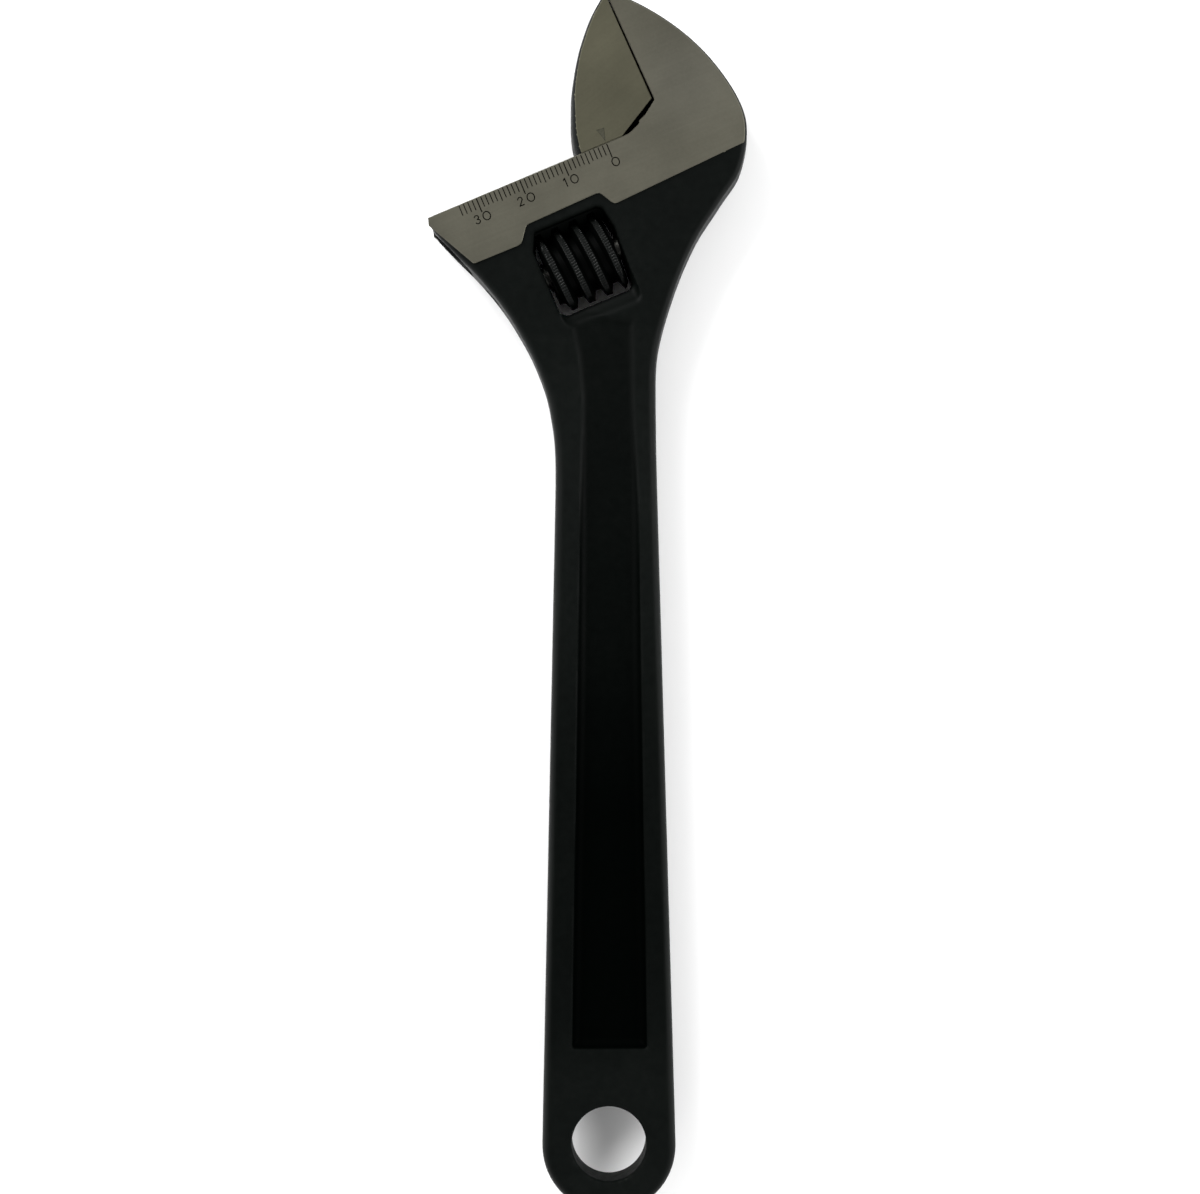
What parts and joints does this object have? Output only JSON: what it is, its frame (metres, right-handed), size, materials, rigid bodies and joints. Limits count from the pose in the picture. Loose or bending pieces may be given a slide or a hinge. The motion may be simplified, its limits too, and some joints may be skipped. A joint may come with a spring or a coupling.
{
  "type": "adjustable wrench",
  "caption": "Adjustable wrench with a forged I-section handle, angled head, ground cheeks with a jaw scale, sliding lower jaw and a knurled worm.",
  "frame": {"origin": "centre of the hang hole at the end of the handle, at half the thickness", "axes": "+Y along the handle towards the head, +X across the handle towards the fixed jaw's side, +Z through the thickness, out of the scale side"},
  "size_m": [0.0684, 0.2614, 0.017],
  "materials": {
    "forged_black": "black phosphate over forged steel, with both cheeks of the head ground bare",
    "ground_steel": "ground steel faces, sides left black as forged",
    "worm_black": "black oxide, crests worn bright",
    "pin_steel": "turned steel, oiled",
    "spring_steel": "drawn spring wire"
  },
  "bodies": {
    "handle": {"body": "forged_black", "worm_pin": "pin_steel", "worm_spring": "spring_steel"},
    "jaw": {"movable_jaw": "ground_steel"},
    "worm": {"worm": "worm_black"}
  },
  "joints": [
    {"name": "jaw_slide", "type": "slide", "parent": "handle", "child": "jaw", "axis": [-0.9239, -0.3827, 0], "range_m": [0, 0.034]},
    {"name": "worm_spin", "type": "hinge", "parent": "handle", "child": "worm", "pos_m": [-0.00494, 0.18902, 0], "axis": [0.9239, 0.3827, 0], "range_deg": [0, 2986]}
  ],
  "couplings": [
    {"joint": "worm_spin", "follows": "jaw_slide", "rad_per_m": 1532.5}
  ]
}
